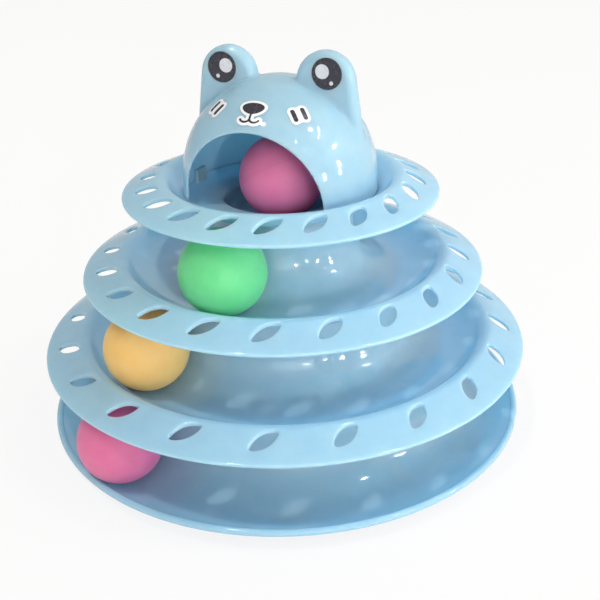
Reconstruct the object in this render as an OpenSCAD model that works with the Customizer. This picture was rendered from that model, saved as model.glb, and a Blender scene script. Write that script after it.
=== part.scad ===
// Tower of ball tracks for a cat: a dish, three slotted tiers, a cat's head and four loose balls.
// Heights are measured from the surface that the rubber pads stand on, and the tower's axis is Z.
// Bearings are measured from +X, and 270 is the front.

/* [Tower] */
// Wall of the mouldings
wall = 2; // [1.8:0.1:2.4]
// Height of the lower tier's edge over the top of the dish's ball
base_room = -0.6; // [-1:0.1:2]
// Height of a tier's edge over the top of the ball below it
tier_room = 1.1; // [0.5:0.1:3]
// Distance of a column inside the track that stands on it
column_offset = 1.4; // [1.3:0.1:1.6]
// Radius of the round bead on the dish's rim
bead_r = 1.6; // [1.3:0.1:2]

/* [Tracks] */
// Slope of a brim
brim_slope = 22; // [20:0.5:23]
// Width of a brim along its slope
brim_w = 17.8; // [17.4:0.1:18.4]
// Radius of the crest, at the middle of the wall
crest_r = 3; // [2.6:0.1:3.4]
// Room beside a ball in a tier's track
track_gap = 2.7; // [2.4:0.1:3]
// Depth of a track's floor below the tier's edge
track_depth = 2.8; // [2.4:0.1:3.2]
// Room beside a ball in the dish's track
base_track_gap = 3; // [2.6:0.1:3.4]
// Depth of the dish's floor below the rim
base_depth = 4.6; // [4.2:0.1:5]
// Radius of the top dish, at the middle of the wall
dish_r = 28.2; // [27.6:0.2:29]
// Depth of the top dish's floor below the top track's floor
dish_depth = 8.7; // [8:0.1:9.4]
// Radius of the top dish's lip, at the middle of the wall
lip_r = 2.2; // [1.8:0.1:2.6]

/* [Slots] */
// Slots in each brim
slot_count = 20; // [12:1:22]
// Length of a slot from tip to tip
slot_l = 16.4; // [12:0.2:17]
// Width of a slot
slot_w = 7.4; // [5:0.2:8]
// Distance of a slot's middle from the tier's edge
slot_inset = 11.6; // [10.6:0.2:12]
// Turn of a slot away from the radius
slot_turn = 53; // [45:1:70]
// Bearing of the first slot's middle
slot_bearing = 12.6; // [0:0.2:18]

/* [Twist lock] */
// Width of the flange inside the top of a column
flange_w = 3.5; // [3:0.1:4]
// Clearance between pieces that fit together
fit_gap = 0.3; // [0.2:0.05:0.4]
// Height of the landing under a tier
land_h = 0.4; // [0.2:0.1:0.8]
// Lugs on each spigot
lug_count = 3; // [2:1:4]
// Angle that a lug takes up
lug_angle = 22; // [16:1:26]
// Turn that locks a tier
lock_turn = 36; // [32:1:44]

/* [Balls] */
// Diameter of a ball
ball_d = 40; // [38:0.5:42]
// Wall of a hollow ball
ball_wall = 1; // [0.6:0.1:1.6]
// Running gap under a ball
ball_gap = 0.3; // [0.2:0.05:0.5]
// Gap between the top ball and the top dish's lip
lip_gap = 0.95; // [0.5:0.05:2]

/* [Head] */
// Distance from the upper tier's track out to the dome
dome_offset = 10.5; // [10:0.1:11]
// Height of the dome's middle over the upper tier's edge
dome_h = 7.4; // [6:0.2:9]
// Outward flare of the skirt at its foot
foot_flare = 0.8; // [0.4:0.1:1]
// Bearing that the face looks along
head_bearing = 246.5; // [230:0.5:300]
// Width that the dome keeps on each side of the arch
arch_side = 12.8; // [12.4:0.2:16]
// Height of the arch's middle over the upper tier's edge
arch_h = 2.2; // [1:0.2:3]
// Width of a snap tab
tab_w = 9; // [7:0.5:11]
// Thickness of a snap tab
tab_t = 1.8; // [1.4:0.1:2]
// Height of a snap tab's tip over the upper tier's edge
tab_h = 5; // [4.4:0.1:5.4]
// Outward reach of a snap tab's barb
barb = 0.9; // [0.6:0.1:1.1]

/* [Ears] */
// Radius of an ear's round top
ear_r = 13.9; // [12.5:0.1:14.5]
// Thickness of an ear
ear_t = 9; // [8:0.2:10]
// Rounding of an ear's edge
ear_edge_r = 3; // [2:0.1:3.4]
// Distance of an ear's middle outside the dome
ear_reach = 4.5; // [3:0.1:5.5]
// Angle of an ear away from upright
ear_angle = 28.1; // [26:0.1:30]
// Outward lean of an ear's sides towards its root
ear_lean = 8; // [4:1:10]
// Length of an ear's sides down to its root
ear_side_l = 25; // [22:1:26]

/* [Stickers] */
// Thickness of a sticker
sticker_t = 0.25; // [0.15:0.05:0.4]
// Thickness of the figure on a sticker
ink_t = 0.1; // [0.05:0.05:0.2]
// Thickness of the glue under a curved sticker
glue_t = 0.05; // [0.02:0.01:0.1]
// White border round a figure
border = 1.3; // [0.8:0.1:1.6]
// Diameter of an eye
eye_d = 14.2; // [12:0.2:14.6]
// Distance of an eye outwards from the ear's middle
eye_out = 1.8; // [0.6:0.1:2]
// Height of an eye over the ear's middle
eye_up = 4.3; // [3:0.1:4.5]
// Width of the nose
nose_w = 10.2; // [8:0.2:12]
// Height of the nose
nose_h = 6.2; // [5:0.2:7]
// Elevation of the nose on the dome
nose_elevation = 53.6; // [50:0.2:56]
// Width of the mouth's line
mouth_w = 1; // [0.7:0.1:1.3]
// Radius of the mouth's two curls
curl_r = 2.6; // [2.2:0.1:3]
// Half of the angle that a curl takes up
curl_angle = 57; // [45:1:70]
// Distance of a curl's middle below the nose's middle
curl_drop = 4.6; // [4.2:0.1:5]
// Length of a cheek bar
bar_l = 6.4; // [4:0.2:7]
// Width of a cheek bar
bar_w = 1.7; // [1.2:0.1:2.2]
// Spacing of the two bars on a cheek
bar_pitch = 4.6; // [4:0.2:6]
// Slant of a cheek bar away from the nose
bar_slant = 7; // [0:1:15]
// Turn of a cheek away from the nose
cheek_turn = 40.5; // [36:0.5:44]
// Elevation of a cheek on the dome
cheek_elevation = 49; // [46:0.5:52]

/* [Pads] */
// Diameter of a rubber pad under the dish
pad_d = 14; // [10:0.5:16]
// Thickness of a pad
pad_t = 2.4; // [2:0.1:3]
// Depth of a pad's socket
socket_h = 1; // [0.6:0.1:1.2]
// Skin between a pad's socket and the underside of the dish
pad_skin = 0.3; // [0.2:0.1:0.6]
// Distance of the pads inside the dish's track
pad_inset = 5; // [4:0.5:8]
// Bearing of the first pad
pad_bearing = 30; // [0:5:60]

/* [Hidden] */
$fn = 96;

// Colours of the plastics, the stickers and the pads
sky = [0.62, 0.82, 0.91];
pink = [0.86, 0.42, 0.62];
orange = [0.95, 0.75, 0.42];
green = [0.35, 0.80, 0.45];
ink = [0.16, 0.16, 0.18];
paper = [0.97, 0.97, 0.98];
rubber = [0.80, 0.84, 0.87];

// One overrun serves all cuts, and one sink all joins that are fused
over = wall;
sink = wall / 4;

// Largest step between the points of an arc
arc_step = 7.5;

// Levels run from the dish, which is level 0, to the upper tier
tier_count = 3;

// A level's section has its heights from the level's edge, and its points on the wall's middle line
function floor_z(i) = -wall / 2 - (i == 0 ? base_depth : track_depth);

// Steps in from a level's edge: to the middle of its round edge, and on to the middle of its crest
function edge_round(i) = i == 0 ? bead_r : wall / 2;
function crest_step(i) = i == 0
    ? [0, 0]
    : brim_w * [-cos(brim_slope), sin(brim_slope)] - crest_r * [sin(brim_slope), cos(brim_slope)];

// A track is one arc, which leaves the crest at a tangent, or in the dish starts at the rim
function bend_r(i) = i == 0 ? 0 : crest_r;
function track_r(i) = ball_d / 2 + wall / 2 + (i == 0 ? base_track_gap : track_gap);
function start_z(i) = crest_step(i)[1] - floor_z(i);
function start_x(i) = sqrt((track_r(i) + bend_r(i)) ^ 2 - (track_r(i) - start_z(i)) ^ 2);

// Columns and tracks follow one another outwards from the top dish
function column_r(i) = i == tier_count - 1
    ? dish_r + wall + sink + flange_w + fit_gap
    : track_x(i + 1) - column_offset;
function track_x(i) = i == tier_count ? column_r(i - 1) + column_offset : column_r(i) + track_r(i);
function edge_r(i) = track_x(i) + start_x(i) - crest_step(i)[0] + edge_round(i);

// Height of the top of a ball over the edge of the level that it runs on, and of each level's edge
function ball_top(i) = -(i == 0 ? base_depth : track_depth) + ball_gap + ball_d;
function edge_z(i) = i == 0
    ? pad_t + pad_skin + wall + base_depth
    : edge_z(i - 1) + ball_top(i - 1) + (i == 1 ? base_room : tier_room);

function brim_end(i) = [edge_r(i) - edge_round(i), 0];
function brim_top(i) = brim_end(i) + brim_w * [-cos(brim_slope), sin(brim_slope)];
function crest_c(i) = brim_end(i) + crest_step(i);
function track_c(i) = [track_x(i), floor_z(i) + track_r(i)];

// Direction in which the track's middle is seen from where its arc starts
function start_angle(i) = atan2(track_r(i) - start_z(i), -start_x(i));

// Height of a track's wall at a radius: its middle, or its underside or top with an offset
function track_z(i, x, offset_r = 0) =
    track_c(i)[1] - sqrt((track_r(i) + offset_r) ^ 2 - (x - track_x(i)) ^ 2);

// A column rises from the inner side of a track to the landing of the tier above
function land_z(i) = floor_z(i) - wall / 2 - land_h;
function seat_z(i) = edge_z(i + 1) + land_z(i + 1) - edge_z(i);

// The spigot under a tier passes the flange in the column below it
function bore_r(i) = column_r(i) - wall / 2;
function spigot_r(i) = bore_r(i - 1) - flange_w - fit_gap;
lug_h = wall;
spigot_h = wall + fit_gap + lug_h;
lug_gap = flange_w / 4;
notch_gap = lug_gap / 2;
lug_bearing = 20;

// Top dish, in the upper tier's section
dish_floor_z = floor_z(tier_count) - dish_depth;
dish_fillet = dish_depth - lip_r;

// Distance of the top ball from the tower's axis, and its height over the middle of the dish's lip
lip_rise = ball_d / 2 + ball_gap + wall / 2 + lip_r - dish_depth;
top_orbit = dish_r + lip_r - sqrt((ball_d / 2 + lip_gap + wall / 2 + lip_r) ^ 2 - lip_rise ^ 2);

// Balls, by the level that each one runs on
ball_bearings = [221.5, 217, 242.5, 273];
ball_orbits = [track_x(0), track_x(1), track_x(2), top_orbit];
function ball_floor_z(i) = edge_z(i) + wall / 2 + (i == tier_count ? dish_floor_z : floor_z(i));

// Head, with its heights from the dome's middle
dome_r = track_x(tier_count) + dome_offset;
dome_z = edge_z(tier_count) + dome_h;
arch_r = dome_r - arch_side;
foot_r = dome_r + foot_flare;
skirt_h = dome_h - track_z(tier_count, foot_r - wall);
tab_r = dome_r - wall - fit_gap;
tab_turns = [90, 180, 270];
groove_z = tab_h - dome_h;
barb_h = barb * 2;

// Middle of an ear and of its eye: the distance from the face's middle line, and the height
ear_x = (dome_r + ear_reach) * sin(ear_angle);
ear_h = (dome_r + ear_reach) * cos(ear_angle);
eye_x = ear_x + eye_out;
eye_h = ear_h + eye_up;

// Eyes: the distance towards the nose, the height and the radius of each glint, in eye radii
glint_shares = [[0.3, 0.13, 0.46], [-0.3, -0.57, 0.13]];

// Nose: the narrowing of its lower half, and the mouth's lines
nose_taper_share = 0.22;
curl_x = curl_r * sin(curl_angle);

// Pads
pad_count = 6;
pad_seat_z = pad_t - socket_h;
pad_r = track_x(0) - pad_inset;
boss_r = pad_d / 2 + fit_gap + wall;

// Point at a distance and an angle in a section
function polar(r, a) = r * [cos(a), sin(a)];

// Points along an arc, with its ends
function arc(c, r, a0, a1) =
    let (steps = max(1, ceil(abs(a1 - a0) / arc_step)))
    [for (k = [0:steps]) c + polar(r, a0 + (a1 - a0) * k / steps)];

// Points in the other order, and a list joined up without points that repeat
function reversed(points) = [for (k = [len(points) - 1:-1:0]) points[k]];
function joined(lists) = [for (points = lists, p = points) p];
function tidy(points) = [for (k = [0:len(points) - 1])
    if (k == 0 || norm(points[k] - points[k - 1]) > sink / 20) points[k]];

// Outline of a round stroke that follows an arc
function stroke(c, r, a0, a1, w) = tidy(joined([
    arc(c, r + w / 2, a0, a1),
    arc(c + polar(r, a1), w / 2, a1, a1 + 180),
    arc(c, r - w / 2, a1, a0),
    reversed(arc(c + polar(r, a0), w / 2, a0, a0 - 180))
]));

// Bends of a level's wall from its edge inwards: middle, radius, first angle, last angle, and 1 where
// the ball's side is the outer one or -1 where it is the inner one
function crest_bend(i) = [crest_c(i), crest_r, 90 - brim_slope, start_angle(i), 1];
function track_bend(i) = [track_c(i), track_r(i), start_angle(i) - 180, i == tier_count ? -90 : -180, -1];
function column_end(i) = [[column_r(i), seat_z(i)], 0, 0, 0, 1];
lip_bend = [[dish_r + lip_r, floor_z(tier_count) - lip_r], lip_r, 90, 180, 1];
fillet_bend = [[dish_r - dish_fillet, dish_floor_z + dish_fillet], dish_fillet, 0, -90, -1];
dish_end = [[0, dish_floor_z], 0, 90, 90, 1];
function bends(i) = concat(
    i == 0 ? [] : [crest_bend(i)],
    [track_bend(i)],
    i == tier_count ? [lip_bend, fillet_bend, dish_end] : [column_end(i)]
);

// One side of a level's wall, and its whole outline with a round edge
function wall_side(i, side) =
    joined([for (b = bends(i)) arc(b[0], b[1] + b[4] * side * wall / 2, b[2], b[3])]);
function edge_angle(i) = i == 0 ? start_angle(0) : 90 - brim_slope;
function wall_outline(i) = tidy(joined([
    arc(brim_end(i), wall / 2, edge_angle(i) - 180, edge_angle(i)),
    wall_side(i, 1),
    reversed(wall_side(i, -1))
]));

// Rectangle between two corners, plain or with round corners
module block(low, high) {
    translate(low) square(high - low);
}

module round_block(low, high, r) {
    block(low + [r, 0], high - [r, 0]);
    block(low + [0, r], high - [0, r]);
    for (x = [low[0] + r, high[0] - r], y = [low[1] + r, high[1] - r]) translate([x, y]) circle(r);
}

// Part of a turned rectangle, centred on a bearing
module sector(low, high, angle, bearing) {
    rotate(bearing - angle / 2) rotate_extrude(angle = angle) block(low, high);
}

// Copies set evenly round the axis
module around(count, bearing) {
    for (k = [0:count - 1]) rotate(bearing + k * 360 / count) children();
}

// Flange inside the top of a column, which the next tier locks into
module flange_section(i) {
    block([bore_r(i) - flange_w, seat_z(i) - wall], [column_r(i), seat_z(i)]);
}

// Landing and spigot under a tier
module spigot_section(i) {
    inner_r = spigot_r(i) - wall;
    head_z = i == tier_count ? floor_z(i) : track_z(i, inner_r);
    block([spigot_r(i) - sink, land_z(i)], [track_x(i), floor_z(i)]);
    block([inner_r, land_z(i) - spigot_h], [spigot_r(i), head_z]);
}

// Lugs that turn under the flange of the column below
module lugs(i) {
    lug_z = land_z(i) - spigot_h;
    for (k = [0:lug_count - 1])
        sector([spigot_r(i) - sink, lug_z], [bore_r(i - 1) - lug_gap, lug_z + lug_h],
            lug_angle, lug_bearing + k * 360 / lug_count);
}

// Notches in a column's flange that let the lugs in
module notches(i) {
    low = [bore_r(i) - flange_w - over, seat_z(i) - wall - over];
    high = [bore_r(i) - notch_gap, seat_z(i) + over];
    for (k = [0:lug_count - 1])
        sector(low, high, lug_angle * 5 / 4, lug_bearing + lock_turn + k * 360 / lug_count);
}

// Pointed slots round a brim, cut straight down as the mould draws them
module slots(i) {
    side_r = (slot_l ^ 2 + slot_w ^ 2) / (4 * slot_w);
    around(slot_count, slot_bearing)
        translate([edge_r(i) - slot_inset, 0, -over])
            rotate(-slot_turn)
                linear_extrude(brim_top(i)[1] + 2 * over) intersection_for(side = [-1, 1])
                    translate([0, side * (side_r - slot_w / 2)]) circle(side_r);
}

// One slotted tier, with a column above it or the top dish in it
module tier(i) {
    translate([0, 0, edge_z(i)]) difference() {
        union() {
            rotate_extrude() {
                polygon(wall_outline(i));
                spigot_section(i);
                if (i < tier_count) flange_section(i);
            }
            lugs(i);
        }
        slots(i);
        if (i < tier_count) notches(i);
    }
}

// Bosses under the dish, cut off inside its wall
module pad_bosses() {
    reach = boss_r + over;
    intersection() {
        around(pad_count, pad_bearing)
            translate([pad_r, 0, pad_seat_z]) cylinder(r = boss_r, h = track_r(0));
        rotate_extrude() difference() {
            block([pad_r - reach, 0], [pad_r + reach, edge_z(0)]);
            translate([track_x(0), edge_z(0) + track_c(0)[1]]) circle(track_r(0));
        }
    }
}

// Sockets for the pads
module pad_sockets() {
    around(pad_count, pad_bearing)
        translate([pad_r, 0, pad_seat_z - over]) cylinder(r = pad_d / 2 + fit_gap, h = over + socket_h);
}

module base_dish() {
    color(sky) difference() {
        union() {
            translate([0, 0, edge_z(0)]) rotate_extrude() {
                polygon(wall_outline(0));
                translate(brim_end(0)) circle(bead_r, $fn = 24);
                flange_section(0);
            }
            pad_bosses();
        }
        pad_sockets();
        translate([0, 0, edge_z(0)]) notches(0);
    }
}

module lower_tier() {
    color(sky) tier(1);
}

module middle_tier() {
    color(sky) tier(2);
}

// Tabs that stand inside the head's skirt and snap into its groove
module snap_tabs() {
    root_z = track_z(tier_count, tab_r);
    for (turn = tab_turns)
        rotate(head_bearing + turn) translate([0, tab_w / 2, edge_z(tier_count)]) rotate([90, 0, 0])
            linear_extrude(tab_w) polygon([
                [tab_r - tab_t, root_z], [tab_r, root_z],
                [tab_r, tab_h - barb_h], [tab_r + barb, tab_h - barb], [tab_r + barb, tab_h - barb / 2],
                [tab_r, tab_h], [tab_r - tab_t, tab_h]
            ]);
}

module upper_tier() {
    color(sky) {
        tier(tier_count);
        snap_tabs();
    }
}

// Things placed in the head's frame, where +X is ahead and the origin is the dome's middle
module in_head() {
    translate([0, 0, dome_z]) rotate(head_bearing) children();
}

// Half of the dome and its skirt, as a section filled in to the axis
module dome_section(inset) {
    low_z = -skirt_h - (inset > 0 ? over : 0);
    intersection() {
        circle(dome_r - inset);
        block([0, -sink], [foot_r, foot_r]);
    }
    polygon([[0, 0], [dome_r - inset, 0], [foot_r - inset, -skirt_h], [foot_r - inset, low_z], [0, low_z]]);
}

// Space over the upper tier's track that the skirt may fill
module foot_space() {
    middle = track_c(tier_count) - [0, dome_h];
    translate(middle) circle(track_r(tier_count) - wall / 2 - fit_gap);
    block([0, 0], [foot_r, dome_r]);
}

// Round plate of an ear, with a round edge outside and a square one in the hollow
module ear_plate(r, inset) {
    edge = inset > 0 ? sink : ear_edge_r;
    for (z = [-1, 1]) translate([0, 0, z * (ear_t / 2 - inset - edge)])
        rotate_extrude($fn = 48) translate([r - inset - edge, 0]) circle(edge, $fn = 16);
}

// Ear with a round top and leaning sides, or the hollow inside it
module ear(side, inset) {
    translate([0, side * ear_x, ear_h]) rotate([90, 0, 90]) hull() {
        ear_plate(ear_r, inset);
        translate([0, -ear_side_l]) ear_plate(ear_r + ear_side_l * sin(ear_lean), inset);
    }
}

// Arch through the front of the head, with straight sides below its middle
module arch() {
    arch_z = arch_h - dome_h;
    translate([0, 0, arch_z]) rotate([0, 90, 0]) cylinder(r = arch_r, h = foot_r + over);
    translate([0, -arch_r, -skirt_h - over]) cube([foot_r + over, 2 * arch_r, skirt_h + over + arch_z]);
}

// Groove inside the skirt that the snap tabs' barbs sit in
module groove() {
    high = [tab_r + barb + 2 * fit_gap, groove_z + fit_gap];
    rotate_extrude() block([tab_r, groove_z - barb_h - fit_gap], high);
}

module cat_head() {
    color(sky) in_head() difference() {
        union() {
            rotate_extrude() intersection() {
                dome_section(0);
                foot_space();
            }
            for (side = [-1, 1]) ear(side, 0);
        }
        rotate_extrude() dome_section(wall);
        for (side = [-1, 1]) ear(side, wall);
        arch();
        groove();
    }
}

// Round eye with two glints
module eye_sticker(side) {
    r = eye_d / 2;
    in_head() translate([ear_t / 2, side * eye_x, eye_h]) rotate([90, 0, 90]) {
        color(ink) cylinder(r = r, h = sticker_t);
        color(paper) for (glint = glint_shares)
            translate([-side * glint[0] * r, glint[1] * r]) cylinder(r = glint[2] * r, h = sticker_t + ink_t);
    }
}

// Thin patch on the dome, where an outline's +X points down the dome and +Y to the face's left hand
module on_dome(turn, elevation, thickness) {
    in_head() rotate([0, 90 - elevation, turn]) intersection() {
        difference() {
            sphere(dome_r + glue_t + thickness);
            sphere(dome_r + glue_t);
        }
        linear_extrude(dome_r + over) children();
    }
}

// Nose and mouth, grown by a border
module nose_outline(grow) {
    line = mouth_w + 2 * grow;
    stem_end = curl_drop + curl_r * cos(curl_angle);
    polygon([for (a = [0:15:345]) [
        (nose_h / 2 + grow) * sin(a),
        (nose_w / 2 + grow) * cos(a) * (1 - nose_taper_share * sin(a))
    ]]);
    block([0, -line / 2], [stem_end, line / 2]);
    for (side = [-1, 1]) polygon(stroke([curl_drop, side * curl_x], curl_r, -curl_angle, curl_angle, line));
}

module nose_sticker() {
    color(paper) on_dome(0, nose_elevation, sticker_t) nose_outline(border);
    color(ink) on_dome(0, nose_elevation, sticker_t + ink_t) nose_outline(0);
}

// Two bars on a cheek, grown by a border
module cheek_outline(grow) {
    half = [bar_l / 2 + grow, bar_w / 2 + grow];
    for (side = [-1, 1]) translate([0, side * bar_pitch / 2]) round_block(-half, half, half[1] - ink_t);
}

// The border is one patch with a slight waist
module cheek_sticker(side) {
    waist = [bar_l, bar_pitch] / 2;
    color(paper) on_dome(side * cheek_turn, cheek_elevation, sticker_t) rotate(side * bar_slant) {
        cheek_outline(border);
        block(-waist, waist);
    }
    color(ink) on_dome(side * cheek_turn, cheek_elevation, sticker_t + ink_t) rotate(side * bar_slant)
        cheek_outline(0);
}

// Hollow ball on the level that it runs on
module ball(i) {
    rotate(ball_bearings[i])
        translate([ball_orbits[i], 0, ball_floor_z(i) + ball_gap + ball_d / 2]) difference() {
            sphere(ball_d / 2);
            sphere(ball_d / 2 - ball_wall);
        }
}

// Rubber pad in its socket
module foot_pad(k) {
    color(rubber) rotate(pad_bearing + (k - 1) * 360 / pad_count) translate([pad_r, 0, 0])
        cylinder(r = pad_d / 2, h = pad_t);
}

base_dish();
lower_tier();
middle_tier();
upper_tier();
cat_head();
eye_sticker(-1);  // eye_sticker_left
eye_sticker(1);  // eye_sticker_right
nose_sticker();
cheek_sticker(-1);  // cheek_sticker_left
cheek_sticker(1);  // cheek_sticker_right
color(pink) ball(0);  // ball_base
color(orange) ball(1);  // ball_lower
color(green) ball(2);  // ball_middle
color(pink) ball(3);  // ball_top
for (k = [1:pad_count]) foot_pad(k);
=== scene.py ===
import math

import bmesh
import bpy
import numpy as np
from mathutils import Matrix, Vector


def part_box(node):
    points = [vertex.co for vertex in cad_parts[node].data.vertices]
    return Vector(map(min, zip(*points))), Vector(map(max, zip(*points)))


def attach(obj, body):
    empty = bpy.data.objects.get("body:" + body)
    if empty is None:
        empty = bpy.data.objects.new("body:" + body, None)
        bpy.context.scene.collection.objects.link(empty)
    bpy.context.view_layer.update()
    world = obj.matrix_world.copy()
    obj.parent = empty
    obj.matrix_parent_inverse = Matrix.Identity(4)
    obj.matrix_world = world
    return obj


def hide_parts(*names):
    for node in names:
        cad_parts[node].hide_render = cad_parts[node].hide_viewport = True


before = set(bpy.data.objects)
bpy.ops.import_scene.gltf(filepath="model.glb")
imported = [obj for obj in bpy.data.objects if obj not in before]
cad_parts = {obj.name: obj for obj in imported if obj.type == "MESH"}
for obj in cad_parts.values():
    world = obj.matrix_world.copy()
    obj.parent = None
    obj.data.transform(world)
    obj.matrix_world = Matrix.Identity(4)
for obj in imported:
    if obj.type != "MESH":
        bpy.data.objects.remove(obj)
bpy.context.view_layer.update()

# Sizes are in millimetres. Heights are over the floor, the tower's axis is Z, and bearings start at +X.
MM = 0.001

# Mouldings
WALL = 2.0
BRIM_SLOPE = 22.0
BRIM_W = 17.8
CREST_R = 3.0
SOFT_CREST_R = 5.0
TRACK_GAP = 2.7
TRACK_DEPTH = 2.8
BASE_TRACK_GAP = 3.0
BASE_DEPTH = 4.6
BEAD_R = 1.6
COLUMN_OFFSET = 1.4
DISH_R = 28.2
DISH_DEPTH = 8.7
LIP_R = 2.2
TOP = 3

# Slots, and the band of the brim that is meshed round them
SLOT_COUNT = 20
SLOT_L = 16.4
SLOT_W = 7.4
SLOT_INSET = 11.6
SLOT_TURN = 53.0
SLOT_BEARING = 12.6
SLOT_TIP_R = 1.7
SLOT_EDGE_R = 0.7
BAND_OUTER = 5.5
BAND_INNER = 17.4

# Twist lock
FLANGE_W = 3.5
FIT_GAP = 0.3
LAND_H = 0.4
LUG_COUNT = 3
LUG_ANGLE = 22.0
LUG_BEARING = 20.0
LOCK_TURN = 36.0
SINK = WALL / 4
SPIGOT_H = 2 * WALL + FIT_GAP
CORNER_R = 0.3

# Balls
BALL_GAP = 0.3
SEAM_ANGLE = 0.75
SEAM_H = 0.06

# Pads, and the sockets that they lie in
PAD_R = 7.0
PAD_T = 2.4
PAD_EDGE_R = 0.6
PAD_DISH_R = 4.5
PAD_DISH_H = 0.3
SOCKET_H = 1.0

# Head, in its own frame: +X ahead, +Y to the face's left hand and the origin at the dome's middle
DOME_OFFSET = 10.5
DOME_H = 7.4
FOOT_FLARE = 0.8
HEAD_BEARING = 246.5
ARCH_R = 33.6
ARCH_H = 2.2
ARCH_EDGE_R = 1.2
EAR_R = 13.9
EAR_T = 9.0
EAR_EDGE_R = 3.6
EAR_REACH = 4.5
EAR_ANGLE = 28.1
EAR_LEAN = 8.0
EAR_SIDE_L = 25.0
EAR_FILLET_R = 1.6
TAB_W = 9.0
TAB_T = 1.8
TAB_H = 5.0
BARB = 0.9

# Stickers
STICKER_T = 0.25
INK_T = 0.08
GLUE_T = 0.05
BORDER = 1.3
EYE_R = 7.1
EYE_OUT = 1.8
EYE_UP = 4.3
GLINTS = ((0.3, 0.13, 0.46), (-0.3, -0.57, 0.13))
NOSE_W = 10.2
NOSE_H = 6.2
NOSE_TAPER = 0.22
NOSE_ELEVATION = 53.6
MOUTH_W = 1.0
CURL_R = 2.6
CURL_ANGLE = 57.0
CURL_DROP = 4.6
BAR_L = 6.4
BAR_W = 2.1
BAR_PITCH = 4.6
BAR_SLANT = 7.0
CHEEK_TURN = 40.5
CHEEK_ELEVATION = 49.0
FIGURE_FILLET_R = 0.3
WAIST_FILLET_R = 0.6
WAIST_SHARE = 0.6
FILM_EDGE_SHARE = 0.7

# Fineness of the meshes, and the room round a field's surface
AROUND = 240
ARC_STEP = 6.0
SMALL_STEP = 15.0
CORNER_STEP = 30.0
SLOT_TIP_STEPS = 4
SLOT_SIDE_STEPS = 16
BAND_STEPS = 8
BAND_SHARES = (1, 0.72, 0.46, 0.24, 0.09)
EDGE_ANGLES = (0, 30, 60, 90)
LUG_STEPS = 24
FLANGE_STEPS = 60
BALL_STEPS = 128
BALL_RINGS = 90
PAD_STEPS = 64
MERGE_GAP = 0.002
SHARP_ANGLE = 35.0
HEAD_STEP = 0.8
HEAD_MARGIN = 1.5
FOOT_MARGIN = 2.0
STICKER_STEP = 0.14
FIGURE_MARGIN = 1.0
SETTLE_ROUNDS = 3
LEAST_SLOPE = 0.05

# Colours in 8-bit sRGB: each finish drifts between two
COLOURS = {
    "tower": ((157, 199, 230), (163, 204, 233)),
    "ink": ((48, 48, 58), (54, 54, 64)),
    "paper": ((236, 238, 242), (242, 243, 246)),
    "glint": ((208, 211, 216), (214, 217, 221)),
    "rubber": ((196, 206, 214), (204, 212, 220)),
    "pink": ((228, 118, 162), (232, 126, 168)),
    "orange": ((244, 190, 112), (246, 197, 122)),
    "green": ((100, 207, 135), (110, 213, 144)),
}

# The part of a noise's range over which a finish drifts, and how fine the noises are
NOISE_SPAN = (0.3, 0.7)
FINISH_DETAIL = 3.0
BUMP_DETAIL = 2.0

# Each ball's colour, and how far its seam is tilted
BALL_LOOKS = (("pink", 40), ("orange", -60), ("green", 75), ("pink", -35))

# Floor: half its length, its finish and the share of plain white that the camera sees in it
FLOOR_HALF = 3000.0
FLOOR_COLOUR = (0.9, 0.9, 0.91)
FLOOR_ROUGHNESS = 0.8
FLOOR_WHITE = 0.85

# Light from all round: its strength low down, overhead, on the left and on the right, and its tints.
# A span is the heights, as shares of the way up, between which the light changes.
WORLD_LOW = 0.75
WORLD_HIGH = 0.52
WORLD_LIGHT_SPAN = (0.35, 0.85)
WORLD_LEFT = 0.54
WORLD_RIGHT = 1.25
WORLD_COOL = (0.93, 0.98, 1.0)
WORLD_WARM = (1.0, 0.91, 0.84)
WORLD_TINT_SPAN = (0.15, 0.8)

# Lamps, by the direction towards them. The door's lamp is aimed at the ball in it.
LAMP_DISTANCE = 1500.0
PANE_RISE = 80.0
SPOT_R = 120.0
KEY_TOWARDS = (-0.27, -0.24, 0.93)
KEY_STRENGTH = 0.76
KEY_ANGLE = 2.0
DOOR_BEARING = -72.0
DOOR_ELEVATION = 12.0
DOOR_BEAM = 2.9
DOOR_POWER = 330.0

# Windows and lit walls that the gloss shows: bearing, elevation, width, height and radiance
FILLS = {"fill_front": (-84, 12, 36, 20, 1.7), "fill_right": (-5, 38, 44, 44, 0.5)}
PANES = (
    (-17, 13, 5, 6, 22), (-18, 6, 4, 5, 16), (-12, 29, 8, 3, 16), (-39, 7, 4, 8, 20), (-55, 5, 4, 7, 12),
    (-26, 55, 2.5, 2.5, 120), (-13, 51, 1.6, 1.6, 40), (-17, 48.5, 1.6, 1.6, 40), (-21, 46, 1.6, 1.6, 40),
    (-26, 44, 1.6, 1.6, 40), (-63, 50, 2, 2, 45), (-54, 39, 2, 2, 30), (-7, 66, 3, 2, 50),
    (-114, 49, 4, 4, 16),
)

# Camera: it looks at the tower's axis at the height of the dish's rim, and then turns by small angles
CAMERA_DISTANCE = 500.4
CAMERA_ELEVATION = 31.23
CAMERA_ROLL = -1.86
CAMERA_YAW = 0.97
CAMERA_PITCH = 5.27
CAMERA_LENS = 55.83
CAMERA_SENSOR = 36.0
CAMERA_CLIP = (0.01, 10)


def sin(degrees):
    return math.sin(math.radians(degrees))


def cos(degrees):
    return math.cos(math.radians(degrees))


def tan(degrees):
    return math.tan(math.radians(degrees))


def polar(radius, degrees):
    return np.array([radius * cos(degrees), radius * sin(degrees)])


def arc(centre, radius, start, end, step=ARC_STEP):
    """Points along an arc, with its ends."""
    steps = max(1, math.ceil(abs(end - start) / step))
    return [np.array(centre) + polar(radius, start + (end - start) * k / steps) for k in range(steps + 1)]


def node_box(node):
    """Lowest and highest corner of a CAD node, in millimetres."""
    low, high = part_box(node)
    return np.array(low) / MM, np.array(high) / MM


def node_middle(node):
    low, high = node_box(node)
    return (low + high) / 2


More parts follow.
